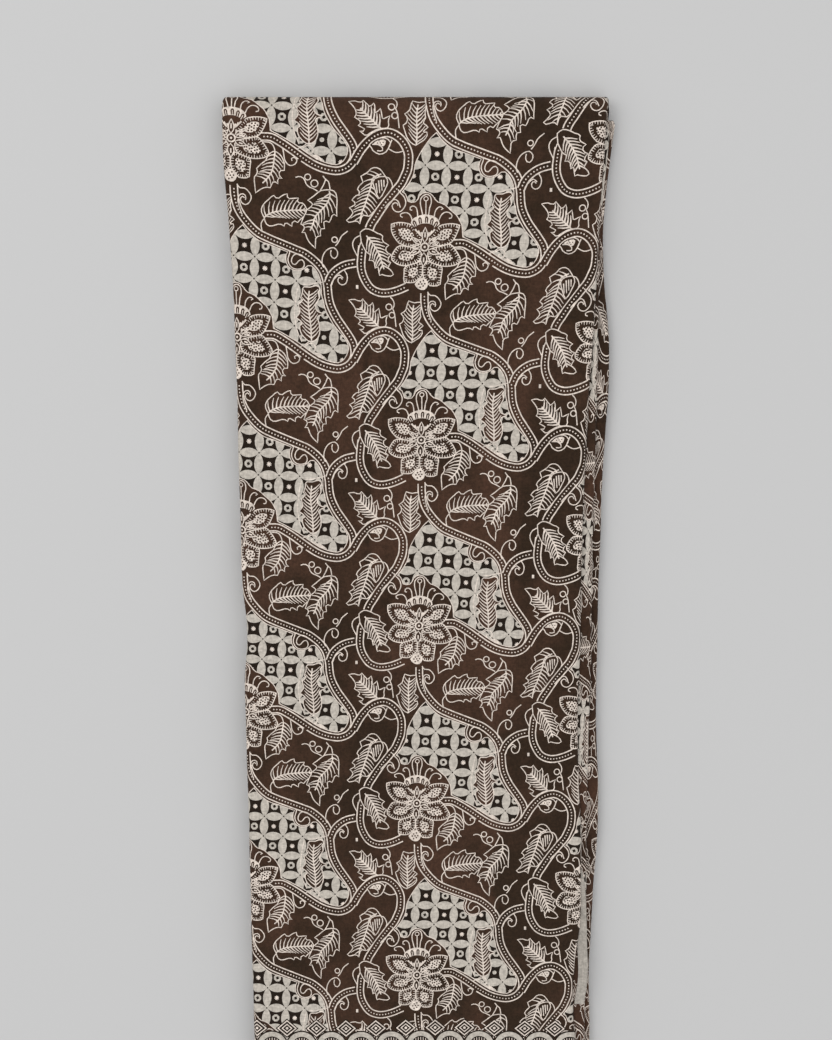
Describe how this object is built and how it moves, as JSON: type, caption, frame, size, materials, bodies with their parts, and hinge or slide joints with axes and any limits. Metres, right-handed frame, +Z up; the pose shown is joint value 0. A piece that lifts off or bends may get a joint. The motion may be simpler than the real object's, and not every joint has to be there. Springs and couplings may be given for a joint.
{
  "type": "folded batik sarong",
  "caption": "Printed cotton sarong cloth folded into a long flat strip, with a round fold end, hemmed open end and layered fold edges.",
  "frame": {"origin": "middle of the underside's box, on the surface that the bundle lies on", "axes": "+Y along the bundle from the hems to the round fold end, +Z up out of the best side, +X towards the side where the lower folds show"},
  "size_m": [0.2175, 0.578, 0.0154],
  "materials": {
    "batik_cloth": "matte printed cotton, dark brown ground with cream resist lines",
    "inner_layers": "matte printed cotton seen at its fold edges",
    "hem_cloth": "matte printed cotton, turned twice and stitched",
    "selvedge_cloth": "matte unprinted cotton"
  },
  "bodies": {
    "root": {"front_stretch": "batik_cloth", "end_fold": "batik_cloth", "back_stretch": "batik_cloth", "right_fold_upper": "batik_cloth", "right_fold_lower": "batik_cloth", "hidden_layers": "inner_layers", "front_hem": "hem_cloth", "back_hem": "hem_cloth", "selvedge": "selvedge_cloth"}
  },
  "joints": []
}
